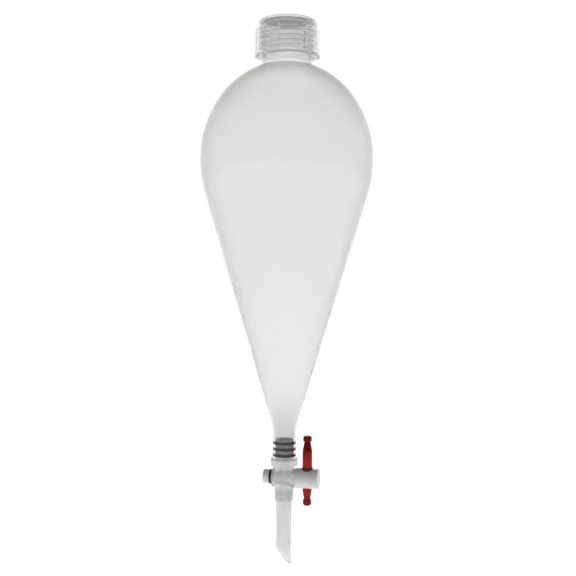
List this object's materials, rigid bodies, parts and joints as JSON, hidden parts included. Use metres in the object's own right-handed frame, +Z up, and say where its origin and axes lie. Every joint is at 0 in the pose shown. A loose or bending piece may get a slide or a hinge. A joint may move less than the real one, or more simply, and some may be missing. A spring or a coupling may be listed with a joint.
{
  "type": "separatory funnel",
  "caption": "Pear-shaped translucent plastic separatory funnel with a ribbed screw cap, a sealed spigot stopcock with a cross handle, and a bevelled delivery tube.",
  "frame": {"origin": "on the funnel's axis, in the plane where the cone rests in its support ring", "axes": "+Z up along the funnel's axis, +X along the stopcock plug towards its handle"},
  "size_m": [0.114, 0.114, 0.3599],
  "materials": {
    "vessel_plastic": "milky translucent, softly glossy outside",
    "cap_plastic": "translucent, smooth",
    "liner_foam": "soft, dull",
    "stopcock_plastic": "clear to translucent, smooth",
    "tube_plastic": "clear to translucent, smooth",
    "seal_rubber": "satin black",
    "plug_white": "waxy white, turned",
    "handle_red": "translucent ruby, glossy",
    "washer_white": "smooth",
    "nut_white": "smooth"
  },
  "bodies": {
    "vessel": {"funnel_vessel": "vessel_plastic"},
    "cap_seal": {"cap_liner": "liner_foam"},
    "cap": {"screw_cap": "cap_plastic"},
    "stopcock": {"stopcock_housing": "stopcock_plastic", "delivery_tube": "tube_plastic", "spigot_o_ring_upper": "seal_rubber", "spigot_o_ring_middle": "seal_rubber", "spigot_o_ring_lower": "seal_rubber"},
    "plug": {"stopcock_plug": "plug_white", "plug_handle": "handle_red", "plug_o_ring": "seal_rubber"},
    "washer": {"plug_washer": "washer_white"},
    "nut": {"tension_nut": "nut_white"}
  },
  "joints": [
    {"name": "cap_lift", "type": "slide", "parent": "vessel", "child": "cap_seal", "axis": [0, 0, 1], "range_m": [0, 0.0193]},
    {"name": "cap_turn", "type": "hinge", "parent": "cap_seal", "child": "cap", "pos_m": [0, 0, 0.13], "axis": [0, 0, 1], "range_deg": [0, 2160]},
    {"name": "stopcock_swivel", "type": "hinge", "parent": "vessel", "child": "stopcock", "pos_m": [0, 0, -0.1397], "axis": [0, 0, 1], "continuous": true},
    {"name": "plug_turn", "type": "hinge", "parent": "stopcock", "child": "plug", "pos_m": [0, 0, -0.15885], "axis": [1, 0, 0], "continuous": true},
    {"name": "nut_slide", "type": "slide", "parent": "plug", "child": "washer", "axis": [-1, 0, 0], "range_m": [0, 0.004]},
    {"name": "nut_turn", "type": "hinge", "parent": "washer", "child": "nut", "pos_m": [-0.0123, 0, -0.15885], "axis": [-1, 0, 0], "range_deg": [0, 1441]}
  ],
  "couplings": [
    {"joint": "cap_lift", "follows": "cap_turn", "m_per_rad": 0.0005093},
    {"joint": "nut_turn", "follows": "nut_slide", "rad_per_m": 6283.2}
  ]
}
